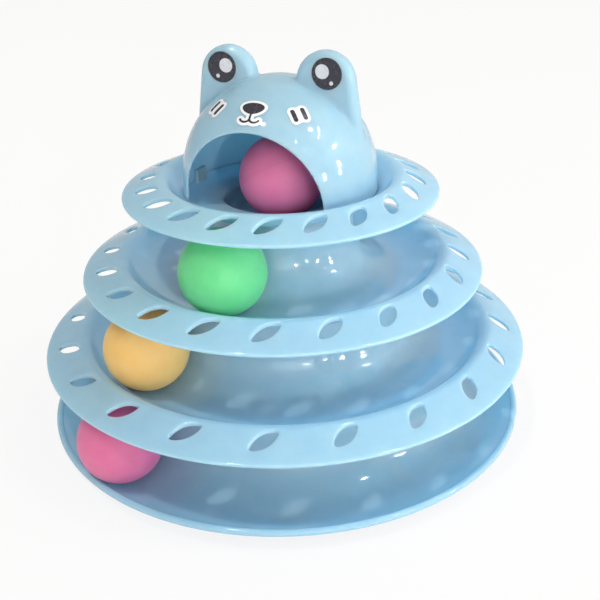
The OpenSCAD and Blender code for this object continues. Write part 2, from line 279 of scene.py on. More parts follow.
BALLS = ("ball_base", "ball_lower", "ball_middle", "ball_top")
BALL_R = float(node_box("ball_base")[1][0] - node_box("ball_base")[0][0]) / 2
PADS = sorted(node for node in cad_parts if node.startswith("foot_pad"))


class Level:
    """One moulding's section from its edge inwards: the dish is level 0 and the upper tier level 3.
    Its points are (radius, height over the edge), and a wall's points lie on its middle line."""

    def __init__(self, i):
        self.i = i
        self.base = i == 0
        self.edge_round = BEAD_R if self.base else WALL / 2
        self.floor_z = -WALL / 2 - (BASE_DEPTH if self.base else TRACK_DEPTH)
        self.track_r = BALL_R + WALL / 2 + (BASE_TRACK_GAP if self.base else TRACK_GAP)
        crest_r = 0.0 if self.base else CREST_R
        brim_rise = 0.0 if self.base else BRIM_W * sin(BRIM_SLOPE) - CREST_R * cos(BRIM_SLOPE)
        brim_run = 0.0 if self.base else BRIM_W * cos(BRIM_SLOPE) + CREST_R * sin(BRIM_SLOPE)
        start_z = brim_rise - self.floor_z
        start_x = math.sqrt((self.track_r + crest_r) ** 2 - (self.track_r - start_z) ** 2)
        self.inset = self.edge_round + brim_run + start_x
        self.start_angle = math.degrees(math.atan2(self.track_r - start_z, -start_x))
        self.land_z = self.floor_z - WALL / 2 - LAND_H

    def place(self, track_x, edge_z):
        """Sets the level at the radius of its track's middle and the height of its edge."""
        self.track_x = track_x
        self.edge_z = edge_z
        self.edge_r = track_x + self.inset
        self.column_r = track_x - self.track_r
        self.track = np.array([track_x, self.floor_z + self.track_r])
        self.brim_end = np.array([self.edge_r - self.edge_round, 0.0])
        if not self.base:
            self.soften()

    def soften(self):
        """A rounder crest between the same brim and the same track."""
        reach = self.track_r + SOFT_CREST_R
        uphill = polar(1, 180 - BRIM_SLOPE)
        start = self.brim_end - SOFT_CREST_R * polar(1, 90 - BRIM_SLOPE) - self.track
        along = start @ uphill
        away = start - (along + math.sqrt(along**2 - start @ start + reach**2)) * uphill
        self.crest = self.track + away
        self.start_angle = math.degrees(math.atan2(-away[1], -away[0]))

    def track_z(self, r):
        """Height of the track's middle line at a radius."""
        return self.track[1] - np.sqrt(self.track_r**2 - (r - self.track_x) ** 2)

    def brim_z(self, r, side):
        """Height at a radius of the brim's top (side 1) or underside (side -1), on to the crest."""
        start = self.brim_end + side * polar(WALL / 2, 90 - BRIM_SLOPE)
        slope = start[1] + (start[0] - r) * tan(BRIM_SLOPE)
        bend_r = SOFT_CREST_R + side * WALL / 2
        bend = self.crest[1] + np.sqrt(np.maximum(bend_r**2 - (r - self.crest[0]) ** 2, 0))
        return np.where(r < self.crest[0] + bend_r * sin(BRIM_SLOPE), bend, slope)

    def wall_arcs(self, side, end):
        """The crest and the track along one side of the wall, from the brim in to an angle on the track."""
        half = side * WALL / 2
        trim = math.degrees(math.sqrt(self.edge_round**2 - (WALL / 2) ** 2) / self.track_r)
        points = arc(self.track, self.track_r - half, self.start_angle - 180 - trim, end, ARC_STEP / 2)
        if self.base:
            return points
        r = self.edge_r - BAND_INNER
        bend_r = SOFT_CREST_R + half
        first = min(self.crest[0] + bend_r * sin(BRIM_SLOPE), r)
        angle = math.degrees(math.acos((first - self.crest[0]) / bend_r))
        joined = arc(self.crest, bend_r, angle, self.start_angle) + points[1:]
        return joined if first == r else [np.array([r, self.brim_z(r, side)])] + joined

    def edge_path(self):
        """Round the brim's edge, from the slotted band's top to its underside."""
        r = self.edge_r - BAND_OUTER
        turn = arc(self.brim_end, WALL / 2, 90 - BRIM_SLOPE, -90 - BRIM_SLOPE, SMALL_STEP)
        return [np.array([r, self.brim_z(r, 1)]), *turn, np.array([r, self.brim_z(r, -1)])]


def make_levels():
    """The four levels: the columns follow one another outwards from the top dish."""
    levels = [Level(i) for i in range(TOP + 1)]
    heights = [node_middle(ball)[2] - BALL_R - BALL_GAP for ball in BALLS]
    edges = [heights[i] - levels[i].floor_z - WALL / 2 for i in range(TOP)]
    edges.append(heights[TOP] - levels[TOP].floor_z - WALL / 2 + DISH_DEPTH)
    column_r = DISH_R + WALL + SINK + FLANGE_W + FIT_GAP
    levels[TOP].place(column_r + COLUMN_OFFSET, edges[TOP])
    for level in reversed(levels[:TOP]):
        level.place(column_r + level.track_r, edges[level.i])
        column_r = level.track_x - COLUMN_OFFSET
    return levels


LEVELS = make_levels()


class Build:
    """Points and faces that are gathered for one piece, in millimetres."""

    def __init__(self):
        self.points = []
        self.faces = []
        self.count = 0

    def add(self, points, faces):
        self.points.append(np.asarray(points, float).reshape(-1, 3))
        self.faces.extend([[index + self.count for index in face] for face in faces])
        self.count += len(self.points[-1])

    def grid(self, rows, closed=False):
        """Quads over rows of points that are rings. A closed grid joins the last row to the first."""
        rows = np.asarray(rows, float)
        m, n = rows.shape[:2]
        faces = []
        for j in range(m if closed else m - 1):
            for k in range(n):
                a, b = j * n + k, j * n + (k + 1) % n
                c, d = ((j + 1) % m) * n + (k + 1) % n, ((j + 1) % m) * n + k
                faces.append([a, b, c, d])
        self.add(rows, faces)

    def bar(self, rows):
        """Rows of points, each a closed outline, with a flat face over either end."""
        start = self.count
        m, n = np.shape(rows)[:2]
        self.grid(rows)
        for first in (start, start + (m - 1) * n):
            self.faces.append([first + k for k in range(n)])

    def revolve(self, path, closed=False, phase=0.0, steps=AROUND, centre=(0, 0)):
        """A path of (radius, height) points turned round a vertical axis."""
        path = np.asarray(path, float)
        angles = np.radians(phase + np.arange(steps) * 360 / steps)
        rows = np.empty((len(path), steps, 3))
        rows[..., 0] = centre[0] + path[:, :1] * np.cos(angles)
        rows[..., 1] = centre[1] + path[:, :1] * np.sin(angles)
        rows[..., 2] = path[:, 1:]
        self.grid(rows, closed)

    def sector(self, path, middle, width, steps):
        """A closed path of (radius, height) points turned through part of a circle, with flat ends."""
        path = np.asarray(path, float)
        angles = np.radians(middle + width * (np.arange(steps + 1) / steps - 0.5))
        r, z = path.T
        self.bar([np.stack([r * np.cos(a), r * np.sin(a), z], -1) for a in angles])

    def mesh(self, name, place=Matrix.Identity(4)):
        """The gathered mesh in metres, with doubled points merged and sharp edges marked."""
        data = bpy.data.meshes.new(name)
        bm = bmesh.new()
        vertices = [bm.verts.new(Vector(p) * MM) for p in np.concatenate(self.points)]
        for face in self.faces:
            bm.faces.new([vertices[index] for index in face])
        bmesh.ops.remove_doubles(bm, verts=bm.verts, dist=MERGE_GAP * MM)
        bmesh.ops.recalc_face_normals(bm, faces=bm.faces)
        for face in bm.faces:
            face.smooth = True
        limit = math.radians(SHARP_ANGLE)
        for edge in bm.edges:
            if edge.is_manifold and edge.calc_face_angle(0.0) > limit:
                edge.smooth = False
        bm.transform(place)
        bm.to_mesh(data)
        bm.free()
        return data


def round_box(low, high, radius=CORNER_R):
    """Closed outline of a rectangle with round corners."""
    low, high = np.array(low) + radius, np.array(high) - radius
    corners = ((high[0], high[1], 0), (low[0], high[1], 90), (low[0], low[1], 180), (high[0], low[1], 270))
    return [p for x, y, a in corners for p in arc((x, y), radius, a, a + 90, CORNER_STEP)]


def shown(name, mesh, body, material, slot, *nodes):
    """A finished piece, which rides on a body, takes a material and may stand for CAD nodes. The slot
    argument is not used.
    """
    piece = bpy.data.objects.new(name, mesh)
    bpy.context.scene.collection.objects.link(piece)
    mesh.materials.append(material)
    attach(piece, body)
    if nodes:
        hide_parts(*nodes)


# Mouldings


def slot_loop(grow):
    """A slot's outline with round tips, grown by a margin, its length along +X."""
    side_r = (SLOT_L**2 + SLOT_W**2) / (4 * SLOT_W)
    side_y = side_r - SLOT_W / 2
    tip_x = math.sqrt((side_r - SLOT_TIP_R) ** 2 - side_y**2)
    half = math.degrees(math.atan2(tip_x, side_y))
    parts = (
        ((tip_x, 0), SLOT_TIP_R, half - 90, 90 - half, SLOT_TIP_STEPS),
        ((0, -side_y), side_r, 90 - half, 90 + half, SLOT_SIDE_STEPS),
        ((-tip_x, 0), SLOT_TIP_R, 90 + half, 270 - half, SLOT_TIP_STEPS),
        ((0, side_y), side_r, 270 - half, 270 + half, SLOT_SIDE_STEPS),
    )
    return np.array([
        np.array(centre) + polar(radius + grow, start + (end - start) * k / steps)
        for centre, radius, start, end, steps in parts
        for k in range(steps)
    ])


def slot_polar(level, grow):
    """The same outline where it lies on the brim, as radius and bearing from the slot's middle."""
    points = slot_loop(grow)
    turn = np.array([[cos(SLOT_TURN), sin(SLOT_TURN)], [-sin(SLOT_TURN), cos(SLOT_TURN)]])
    x, y = (points @ turn.T).T
    x = x + level.edge_r - SLOT_INSET
    return np.stack([np.hypot(x, y), np.degrees(np.arctan2(y, x))], -1)


def band_loop(level):
    """The border of one slot's share of the brim, as radius and bearing."""
    outer, inner = level.edge_r - BAND_OUTER, level.edge_r - BAND_INNER
    half = 180 / SLOT_COUNT
    across = AROUND // SLOT_COUNT
    corners = ((outer, -half), (outer, half), (inner, half), (inner, -half))
    points = []
    for k, steps in enumerate((across, BAND_STEPS, across, BAND_STEPS)):
        a, b = np.array(corners[k]), np.array(corners[(k + 1) % 4])
        points += [a + (b - a) * j / steps for j in range(steps)]
    return np.array(points)


def facing_shift(border, rim, radius):
    """How far to roll the rim's points, so that each is nearest to its partner on the border."""

    def spread(shift):
        gap = border - np.roll(rim, shift, 0)
        return np.sum(gap[:, 0] ** 2 + (np.radians(gap[:, 1]) * radius) ** 2)

    return min(range(len(border)), key=spread)


def slotted_band(build, level):
    """The brim between its edge and its crest, with a round-edged slot in each of its shares."""
    border = band_loop(level)
    rim = slot_polar(level, SLOT_EDGE_R / 2)
    shift = facing_shift(border, rim, level.edge_r)
    rim = np.roll(rim, shift, 0)
    half = []
    for side in (1, -1):
        rings = []
        for share in BAND_SHARES:
            ring = rim + share * (border - rim)
            rings.append((ring, level.brim_z(ring[:, 0], side)))
        for angle in EDGE_ANGLES:
            ring = np.roll(slot_polar(level, SLOT_EDGE_R * (0.5 - sin(angle))), shift, 0)
            drop = SLOT_EDGE_R * (1 - cos(angle))
            rings.append((ring, level.brim_z(ring[:, 0], side) - side * drop))
        half.append(rings)
    for k in range(SLOT_COUNT):
        rows = []
        for ring, height in half[0] + half[1][::-1]:
            bearing = np.radians(ring[:, 1] + SLOT_BEARING + k * 360 / SLOT_COUNT)
            x, y = ring[:, 0] * np.cos(bearing), ring[:, 0] * np.sin(bearing)
            rows.append(np.stack([x, y, height + level.edge_z], -1))
        build.grid(rows)


def column_top(level, seat_z):
    """The column's end, which carries the tier above: its rounded corners from outside to inside."""
    out, bore = level.column_r + WALL / 2, level.column_r - WALL / 2
    return [
        *arc((out - CORNER_R, seat_z - CORNER_R), CORNER_R, 0, 90, CORNER_STEP),
        *arc((bore + CORNER_R, seat_z - CORNER_R), CORNER_R, 90, 180, CORNER_STEP),
    ]


def spigot_path(level, spigot_r):
    """The spigot and the landing under a tier, from the spigot's lower end outwards."""
    low = level.land_z - SPIGOT_H
    return [
        *arc((spigot_r - CORNER_R, low + CORNER_R), CORNER_R, 270, 360, CORNER_STEP),
        np.array([spigot_r, level.land_z]),
        np.array([level.track_x, level.land_z]),
    ]


def underside(level, below):
    """A tier's underside, from the axis or the column's bore out to the brim."""
    spigot_r = below.column_r - WALL / 2 - FLANGE_W - FIT_GAP
    low = level.land_z - SPIGOT_H
    if level.i == TOP:
        dish_z = level.floor_z - DISH_DEPTH
        fillet_r = DISH_DEPTH - LIP_R
        centre = np.array([DISH_R - fillet_r, dish_z + fillet_r])
        end = math.degrees(math.asin((low - centre[1]) / (fillet_r + WALL / 2)))
        inner = [np.array([0, dish_z - WALL / 2]), *arc(centre, fillet_r + WALL / 2, -90, end)]
    else:
        inner_r = spigot_r - WALL
        end = -math.degrees(math.acos((inner_r - level.track_x) / (level.track_r + WALL / 2)))
        inner = arc(level.track, level.track_r + WALL / 2, -180, end)
        inner += arc((inner_r + CORNER_R, low + CORNER_R), CORNER_R, 180, 270, CORNER_STEP)
    return inner + spigot_path(level, spigot_r) + level.wall_arcs(-1, -90)[::-1]


def top_side(level, seat_z):
    """A tier's top, from the brim in to the column's bore or the dish's middle."""
    points = level.wall_arcs(1, -90 if level.i == TOP else -180)
    if level.i < TOP:
        return points + column_top(level, seat_z)
    dish_z = level.floor_z - DISH_DEPTH
    fillet_r = DISH_DEPTH - LIP_R
    points += arc((DISH_R + LIP_R, level.floor_z - LIP_R), LIP_R + WALL / 2, 90, 180, ARC_STEP)
    points += arc((DISH_R - fillet_r, dish_z + fillet_r), fillet_r - WALL / 2, 0, -90)
    return points + [np.array([0, dish_z + WALL / 2])]


def raised(path, height):
    """A path of (radius, height) points, lifted."""
    return np.asarray(path, float) + [0, height]


def flange(build, level, seat_z):
    """The flange inside a column's top, open where the lugs of the tier above go in."""
    bore = level.column_r - WALL / 2
    path = raised(round_box([bore - FLANGE_W, seat_z - WALL], [bore + SINK, seat_z]), level.edge_z)
    width = 360 / LUG_COUNT - LUG_ANGLE * 5 / 4
    for k in range(LUG_COUNT):
        build.sector(path, LUG_BEARING + LOCK_TURN + (k + 0.5) * 360 / LUG_COUNT, width, FLANGE_STEPS)


def lugs(build, level, below):
    """The lugs on a spigot, which lie under the flange of the column below."""
    bore = below.column_r - WALL / 2
    low = level.land_z - SPIGOT_H
    path = round_box([bore - FLANGE_W - FIT_GAP - SINK, low], [bore - FLANGE_W / 4, low + WALL])
    for k in range(LUG_COUNT):
        build.sector(raised(path, level.edge_z), LUG_BEARING + k * 360 / LUG_COUNT, LUG_ANGLE, LUG_STEPS)


def seat_height(level):
    """Height over a level's edge at which the tier above lands on its column."""
    above = LEVELS[level.i + 1]
    return above.edge_z + above.land_z - level.edge_z


def dish_builds():
    """The dish's wall, and its flange and bosses."""
    level = LEVELS[0]
    seat_z = seat_height(level)
    away = level.start_angle - 270
    gap = math.degrees(math.asin(WALL / 2 / BEAD_R))
    bead = arc(level.brim_end, BEAD_R, away + gap, away + 360 - gap, SMALL_STEP)
    path = top_side(level, seat_z) + level.wall_arcs(-1, -180)[::-1] + bead
    build, details = Build(), Build()
    build.revolve(raised(path, level.edge_z), closed=True)
    flange(details, level, seat_z)
    for pad in PADS:
        pad_boss(details, pad)
    return build, details


def pad_boss(build, pad):
    """The boss under the dish that a pad's socket is in. It ends inside the dish's wall."""
    roof_z = node_box(pad)[1][2]
    foot_z = roof_z - SOCKET_H
    x, y, _ = node_middle(pad)
    socket_r = PAD_R + FIT_GAP
    boss_r = socket_r + WALL
    angles = np.radians(np.arange(PAD_STEPS) * 360 / PAD_STEPS)

    def ring(radius):
        return x + radius * np.cos(angles), y + radius * np.sin(angles)

    rows = []
    for share in (0.0, 0.5, 1.0):
        ring_x, ring_y = ring(share * boss_r)
        wall_z = LEVELS[0].edge_z + LEVELS[0].track_z(np.hypot(ring_x, ring_y))
        rows.append(np.stack([ring_x, ring_y, wall_z], -1))
    path = [
        *arc((boss_r - CORNER_R, foot_z + CORNER_R), CORNER_R, 0, -90, CORNER_STEP),
        (socket_r, foot_z), (socket_r, roof_z), (0, roof_z),
    ]
    for radius, height in path:
        rows.append(np.stack([*ring(radius), np.full(PAD_STEPS, height)], -1))
    build.grid(rows)


def tier_builds(i):
    """A tier's wall with its slots, and its lugs with its flange or its snap tabs."""
    level, below = LEVELS[i], LEVELS[i - 1]
    phase = SLOT_BEARING - 180 / SLOT_COUNT
    build, details = Build(), Build()
    if i == TOP:
        build.revolve(raised(top_side(level, 0), level.edge_z), phase=phase)
        build.revolve(raised(underside(level, below), level.edge_z), phase=phase)
        snap_tabs(details, level)
    else:
        seat_z = seat_height(level)
        path = top_side(level, seat_z) + underside(level, below)
        build.revolve(raised(path, level.edge_z), phase=phase)
        flange(details, level, seat_z)
    build.revolve(raised(level.edge_path(), level.edge_z), phase=phase)
    slotted_band(build, level)
    lugs(details, level, below)
    return build, details


def prism(build, outline, bearing, width):
    """A flat outline of (radius, height) points on a bearing, given a width across it."""
    ahead, across = polar(1, bearing), polar(1, bearing + 90)
    build.bar([[(*(p[0] * ahead + side * width * across), p[1]) for p in outline] for side in (-0.5, 0.5)])


def snap_tabs(build, level):
    """The tabs that stand inside the head's skirt, at its sides and its back."""
    tab_r = DOME_R - WALL - FIT_GAP
    root_z = level.track_z(tab_r)
    outline = [
        (tab_r - TAB_T, root_z), (tab_r, root_z),
        (tab_r, TAB_H - 2 * BARB), (tab_r + BARB, TAB_H - BARB), (tab_r + BARB, TAB_H - BARB / 2),
        (tab_r, TAB_H), (tab_r - TAB_T, TAB_H),
    ]
    for turn in (90, 180, 270):
        prism(build, raised(outline, level.edge_z), HEAD_BEARING + turn, TAB_W)


# Surfaces that are the zero of a field: less than zero is inside

# A cell's corners, as steps from its lowest one
CORNERS = [(i, j, k) for i in (0, 1) for j in (0, 1) for k in (0, 1)]


def smooth_least(a, b, radius):
    """The union of two fields, with a fillet."""
    h = np.maximum(radius - np.abs(a - b), 0) / radius
    return np.minimum(a, b) - h * h * radius / 4


def smooth_most(a, b, radius):
    """The shared part of two fields, with a rounding."""
    return -smooth_least(-a, -b, radius)


def rounded_plate(outline, height, half, radius):
    """A plate with the field of its outline and a half thickness, with round edges."""
    a, b = outline + radius, np.abs(height) - half + radius
    return np.minimum(np.maximum(a, b), 0) + np.hypot(np.maximum(a, 0), np.maximum(b, 0)) - radius


def slopes(field, points, step):
    """The gradient of a field at some points."""
    columns = []
    for axis in np.eye(3):
        columns.append((field(points + axis * step) - field(points - axis * step)) / (2 * step))
    return np.stack(columns, -1)


def corner(values, shift):
    """The values at one corner of each cell of a grid."""
    return values[tuple(slice(s, s + n - 1) for s, n in zip(shift, values.shape))]


def cell_points(value, crossed, base, step):
    """For each crossed cell, the middle of the places where a field's zero crosses the cell's edges."""
    total, hits = np.zeros_like(base), np.zeros(len(base))
    for s in CORNERS:
        for axis in range(3):
            if s[axis]:
                continue
            t = tuple(s[a] + (a == axis) for a in range(3))
            va, vb = corner(value, s)[crossed], corner(value, t)[crossed]
            cross = (va < 0) != (vb < 0)
            share = va[cross] / (va[cross] - vb[cross])
            point = base[cross] + np.array(s) * step
            point[:, axis] += share * step[axis]
            total[cross] += point
            hits[cross] += 1
    return total / hits[:, None]


def cell_quads(inside, index):
    """A quad for each grid edge that the zero crosses, over the points of the four cells round it."""
    faces = []
    for axis in range(3):
        b, c = (axis + 1) % 3, (axis + 2) % 3
        lower = [slice(1, -1)] * 3
        lower[axis] = slice(0, -1)
        upper = list(lower)
        upper[axis] = slice(1, None)
        start, end = inside[tuple(lower)], inside[tuple(upper)]
        for outward in (True, False):
            where = np.argwhere(start & ~end if outward else ~start & end)
            where[:, b] += 1
            where[:, c] += 1
            step_b, step_c = np.eye(3, dtype=int)[b], np.eye(3, dtype=int)[c]
            ring = [where - step_b - step_c, where - step_c, where, where - step_b]
            quad = np.stack([index[tuple(cell.T)] for cell in ring], -1)
            faces.append(quad if outward else quad[:, ::-1])
    return np.concatenate(faces)


def net_surface(field, low, high, step):
    """Quads over the zero of a field inside a box, with one point for each cell that it crosses."""
    low, high, step = (np.array(value, float) for value in (low, high, step))
    size = np.ceil((high - low) / step).astype(int) + 1
    axes = [low[a] + step[a] * np.arange(size[a]) for a in range(3)]
    grid = np.stack(np.meshgrid(*axes, indexing="ij"), -1)
    value = field(grid)
    inside = value < 0
    full = sum(corner(inside, s).astype(int) for s in CORNERS)
    crossed = (full > 0) & (full < len(CORNERS))
    index = np.full(crossed.shape, -1)
    index[crossed] = np.arange(crossed.sum())
    points = cell_points(value, crossed, grid[:-1, :-1, :-1][crossed], step)
    return settled(field, points, step.min() / 4), cell_quads(inside, index)


def settled(field, points, step):
    """Points moved along a field's gradient on to its zero."""
    for _ in range(SETTLE_ROUNDS):
        slope = slopes(field, points, step)
        length = np.maximum(np.sum(slope**2, -1), LEAST_SLOPE)
        points = points - slope * (field(points) / length)[:, None]
    return points


# Head

UPPER = LEVELS[TOP]
DOME_R = UPPER.track_x + DOME_OFFSET
FOOT_R = DOME_R + FOOT_FLARE
DOME_Z = UPPER.edge_z + DOME_H
SKIRT_H = DOME_H - UPPER.track_z(FOOT_R - WALL)
EAR_X = (DOME_R + EAR_REACH) * sin(EAR_ANGLE)
EAR_H = (DOME_R + EAR_REACH) * cos(EAR_ANGLE)


def dome_field(rho, h, inset):
    """The dome and its skirt, which flares towards its foot."""
    flare = FOOT_FLARE * np.clip(-h / SKIRT_H, 0, 2) ** 2
    return np.hypot(rho, np.maximum(h, 0)) - (DOME_R + flare - inset)


def ear_outline(s, h, side):
    """A round top with leaning sides: the outline round two circles of different size."""
    x = np.abs(s - side * EAR_X)
    y = h - EAR_H + EAR_SIDE_L
    root_r = EAR_R + EAR_SIDE_L * sin(EAR_LEAN)
    along = y * cos(EAR_LEAN) - x * sin(EAR_LEAN)
    beside = x * cos(EAR_LEAN) + y * sin(EAR_LEAN) - root_r
    low = np.hypot(x, y) - root_r
    high = np.hypot(x, y - EAR_SIDE_L) - EAR_R
    return np.where(along < 0, low, np.where(along > EAR_SIDE_L * cos(EAR_LEAN), high, beside))


def head_field(p):
    """The head's wall: the dome and ears less their hollow, the arch and the room under the foot."""
    k, s, h = p[..., 0], p[..., 1], p[..., 2]
    rho = np.hypot(k, s)
    outer = dome_field(rho, h, 0)
    inner = dome_field(rho, h, WALL)
    for side in (-1, 1):
        outline = ear_outline(s, h, side)
        outer = smooth_least(outer, rounded_plate(outline, k, EAR_T / 2, EAR_EDGE_R), EAR_FILLET_R)
        inner = np.minimum(inner, rounded_plate(outline + WALL, k, EAR_T / 2 - WALL, SINK))
    above_track = np.hypot(rho - UPPER.track_x, h + DOME_H - UPPER.track[1])
    room = above_track - (UPPER.track_r - WALL / 2 - FIT_GAP)
    arch_h = np.maximum(h - (ARCH_H - DOME_H), 0)
    arch = np.maximum(np.hypot(s, arch_h) - ARCH_R, -k)
    shell = smooth_most(outer, -inner, CORNER_R)
    shell = smooth_most(shell, np.minimum(room, -h), CORNER_R)
    return smooth_most(shell, -arch, ARCH_EDGE_R)


def head_frame():
    """The head's own frame, with its lengths in metres."""
    return Matrix.Translation((0, 0, DOME_Z * MM)) @ Matrix.Rotation(math.radians(HEAD_BEARING), 4, "Z")


def field_mesh(name, points, faces, normals=None):
    """A smooth mesh, laid on the head, with the field's own normals where they are given."""
    place = head_frame()
    data = bpy.data.meshes.new(name)
    data.from_pydata((points * MM).tolist(), [], faces.tolist())
    data.transform(place)
    data.shade_smooth()
    if normals is not None:
        turn = np.array(place.to_3x3())
        data.normals_split_custom_set_from_vertices((normals @ turn.T).tolist())
    return data


def head_mesh():
    reach = FOOT_R + HEAD_MARGIN
    low = (-reach, -reach, -SKIRT_H - FOOT_MARGIN)
    high = (reach, reach, EAR_H + EAR_R + HEAD_MARGIN)
    points, faces = net_surface(head_field, low, high, (HEAD_STEP,) * 3)
    normals = slopes(head_field, points, HEAD_STEP / 8)
    normals /= np.linalg.norm(normals, axis=-1, keepdims=True)
    return field_mesh("cat_head", points, faces, normals)


# Stickers: each lies flat as (u, v, height) and is then laid on the head


def film(outline, low, high, bottom, top):
    """A thin film with the field of its outline, flat, from one height to another."""
    middle, half = (top + bottom) / 2, (top - bottom) / 2
    edge_r = half * FILM_EDGE_SHARE

    def field(p):
        return rounded_plate(outline(p[..., 0], p[..., 1]), p[..., 2] - middle, half, edge_r)

    rise = half / 2
    side_room, room = 3 * STICKER_STEP, 2.2 * rise
    box_low = (low[0] - side_room, low[1] - side_room, bottom - room)
    box_high = (high[0] + side_room, high[1] + side_room, top + room)
    return net_surface(field, box_low, box_high, (STICKER_STEP, STICKER_STEP, rise))


def disc(radius, u=0.0, v=0.0):
    """The field of a disc with its middle at a place."""
    return lambda x, y: np.hypot(x - u, y - v) - radius


def on_ear(side):
    """Lays a flat film on an ear's front and round its edge. +u is to the face's left hand and +v up."""

    def lay(p):
        s = side * (EAR_X + EYE_OUT) + p[:, 0]
        h = EAR_H + EYE_UP + p[:, 1]
        over = np.maximum(ear_outline(s, h, side) + EAR_EDGE_R, 0)
        drop = EAR_EDGE_R - np.sqrt(np.maximum(EAR_EDGE_R**2 - over**2, 0))
        return np.stack([EAR_T / 2 - drop + p[:, 2] * EAR_EDGE_R / (EAR_EDGE_R - drop), s, h], -1)

    return lay


def on_dome(turn, elevation):
    """Lays a flat film on the dome. +u is down the dome and +v to the face's left hand."""
    aside = Matrix.Rotation(math.radians(turn), 3, "Z")
    down = Matrix.Rotation(math.radians(90 - elevation), 3, "Y")
    tilt = np.array(aside @ down)

    def lay(p):
        rise = np.sqrt((DOME_R + GLUE_T) ** 2 - p[:, 0] ** 2 - p[:, 1] ** 2)
        points = np.stack([p[:, 0], p[:, 1], rise], -1)
        return (points * (1 + p[:, 2:] / DOME_R)) @ tilt.T

    return lay


def sticker(name, layers, lay):
    """A sticker of films. Each is a suffix, an outline, its corners, two heights and a material."""
    for suffix, outline, low, high, bottom, top, material in layers:
        points, faces = film(outline, low, high, bottom, top)
        mesh = field_mesh(name + suffix, lay(points), faces)
        nodes = () if suffix else (name,)
        shown(name + suffix, mesh, "tower", material, "sticker_print", *nodes)


def eye_sticker(name, side, materials):
    """A dark disc with two glints on it."""
    corner = (EYE_R, EYE_R)
    layers = [("", disc(EYE_R), (-EYE_R, -EYE_R), corner, 0.0, STICKER_T, materials["ink"])]
    for k, (ahead, up, share) in enumerate(GLINTS):
        u, v, r = -side * ahead * EYE_R, up * EYE_R, share * EYE_R
        layers.append((
            f"_glint_{k + 1}", disc(r, u, v), (u - r, v - r), (u + r, v + r),
            STICKER_T - INK_T / 2, STICKER_T + INK_T / 2, materials["glint"],
        ))
    sticker(name, layers, on_ear(side))


def nose_outline(grow):
    """Nose, stem and two curls, grown by a border."""
    line = MOUTH_W / 2 + grow
    a, b = NOSE_H / 2 + grow, NOSE_W / 2 + grow
    stem_end = CURL_DROP + CURL_R * cos(CURL_ANGLE)
    curl_y = CURL_R * sin(CURL_ANGLE)

    def outline(x, y):
        taper = 1 - NOSE_TAPER * np.clip(x / a, -1, 1)
        nose = (np.sqrt((x / a) ** 2 + (y / (b * taper)) ** 2) - 1) * a
        stem = np.maximum(np.abs(y) - line, np.maximum(-x, x - stem_end))
        joined = np.minimum(nose, stem)
        for side in (-1, 1):
            dx, dy = x - CURL_DROP, y - side * curl_y
            turn = np.degrees(np.arctan2(dy, dx))
            stroke = np.abs(np.hypot(dx, dy) - CURL_R) - line
            end = np.hypot(dx - CURL_R * cos(CURL_ANGLE), np.abs(dy) - CURL_R * sin(CURL_ANGLE)) - line
            curl = np.where(np.abs(turn) < CURL_ANGLE, stroke, end)
            joined = smooth_least(joined, curl, FIGURE_FILLET_R)
        return joined

    return outline


def cheek_outline(side):
    """Two bars on a cheek, which can be grown by a border. A border joins them with a slight waist."""

    def grown(grow):
        def outline(x, y):
            u = x * cos(BAR_SLANT) + side * y * sin(BAR_SLANT)
            v = y * cos(BAR_SLANT) - side * x * sin(BAR_SLANT)
            over = np.maximum(np.abs(u) - (BAR_L - BAR_W) / 2, 0)
            first, second = (np.hypot(over, v - k * BAR_PITCH / 2) - BAR_W / 2 - grow for k in (-1, 1))
            joined = smooth_least(first, second, WAIST_FILLET_R)
            if not grow:
                return joined
            waist = np.maximum(np.abs(u) - BAR_L / 2 - WAIST_SHARE * grow, np.abs(v) - BAR_PITCH / 2)
            return smooth_least(joined, waist, WAIST_FILLET_R)

        return outline

    return grown


def dome_sticker(name, outline, low, high, lay, materials):
    """A printed figure on a white film, which is larger by a border."""
    low, high = np.array(low, float), np.array(high, float)
    paper = ("", outline(BORDER), low - BORDER, high + BORDER, 0.0, STICKER_T, materials["paper"])
    ink = ("_ink", outline(0.0), low, high, STICKER_T - INK_T / 2, STICKER_T + INK_T / 2, materials["ink"])
    sticker(name, (paper, ink), lay)


# Balls and pads


def ball_mesh(name, tilt):
    """A moulded ball with a fine seam round it, which is tilted out of the level."""
    angles = sorted([*np.linspace(-90, 90, BALL_RINGS + 1), -SEAM_ANGLE, SEAM_ANGLE])
    build = Build()
    build.revolve([polar(BALL_R - (abs(a) > 0) * SEAM_H, a) for a in angles], steps=BALL_STEPS)
    turn = Matrix.Rotation(math.radians(tilt), 4, "X") @ Matrix.Rotation(math.radians(tilt / 2), 4, "Y")
    place = Matrix.Translation(Vector(node_middle(name)) * MM) @ turn
    return build.mesh(name, place)


def pad_mesh(name):
    """A rubber pad with a round edge and a shallow dish in its sole."""
    x, y, _ = node_middle(name)
    path = [
        (0, PAD_DISH_H), (PAD_DISH_R, PAD_DISH_H), (PAD_DISH_R + PAD_DISH_H, 0),
        *arc((PAD_R - PAD_EDGE_R, PAD_EDGE_R), PAD_EDGE_R, -90, 0, SMALL_STEP),
        *arc((PAD_R - CORNER_R, PAD_T - CORNER_R), CORNER_R, 0, 90, CORNER_STEP),
        (0, PAD_T),
    ]
    build = Build()
    build.revolve(path, steps=PAD_STEPS, centre=(x, y))
    return build.mesh(name)


# Materials


def linear(srgb):
    """A colour given in 8-bit sRGB, as linear shares."""
    shares = [value / 255 for value in srgb]
    return tuple(c / 12.92 if c <= 0.04045 else ((c + 0.055) / 1.055) ** 2.4 for c in shares)


def set_inputs(node, **values):
    """Puts constants on a node's inputs, by their names."""
    for key, value in values.items():
        node.inputs[key.replace("_", " ")].default_value = value


def add_node(tree, kind, **values):
    """A shader node with constants on some of its inputs."""
    node = tree.nodes.new("ShaderNode" + kind)
    set_inputs(node, **values)
    return node


